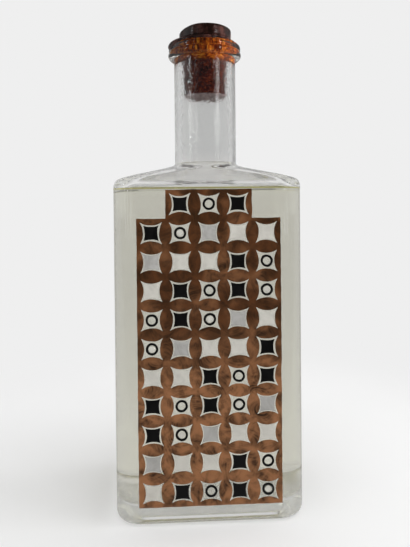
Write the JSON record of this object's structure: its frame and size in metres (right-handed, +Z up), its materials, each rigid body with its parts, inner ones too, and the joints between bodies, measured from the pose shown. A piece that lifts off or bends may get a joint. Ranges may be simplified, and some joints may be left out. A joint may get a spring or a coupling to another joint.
{
  "type": "spirit bottle",
  "caption": "Flat rectangular clear glass spirit bottle with cork stopper, dark wax seal, pale spirit inside and an enamelled tile pattern on its front face.",
  "frame": {"origin": "centre of the base, on the surface the bottle stands on", "axes": "+Z up along the neck, -Y out of the enamelled front face, +X to the right as seen from the front"},
  "size_m": [0.084, 0.0542, 0.222],
  "materials": {
    "clear_glass": "clear, slightly grey moulded glass",
    "pale_spirit": "clear pale yellow liquid",
    "cork": "pressed cork granules, damp and dark",
    "sealing_wax": "glossy dark brown wax",
    "brown_enamel": "brushed translucent brown enamel",
    "black_enamel": "black enamel",
    "white_enamel": "white enamel",
    "grey_enamel": "thin grey enamel"
  },
  "bodies": {
    "bottle": {"glass_bottle": "clear_glass", "spirit": "pale_spirit", "enamel_brown": "brown_enamel", "enamel_black": "black_enamel", "enamel_white": "white_enamel", "enamel_grey": "grey_enamel"},
    "stopper": {"cork_stopper": "cork"},
    "seal": {"wax_seal": "sealing_wax"}
  },
  "joints": [
    {"name": "cork_pull", "type": "slide", "parent": "bottle", "child": "stopper", "axis": [0, 0, 1], "range_m": [0, 0.04]},
    {"name": "wax_lift", "type": "slide", "parent": "stopper", "child": "seal", "axis": [0, 0, 1], "range_m": [0, 0.02]}
  ]
}
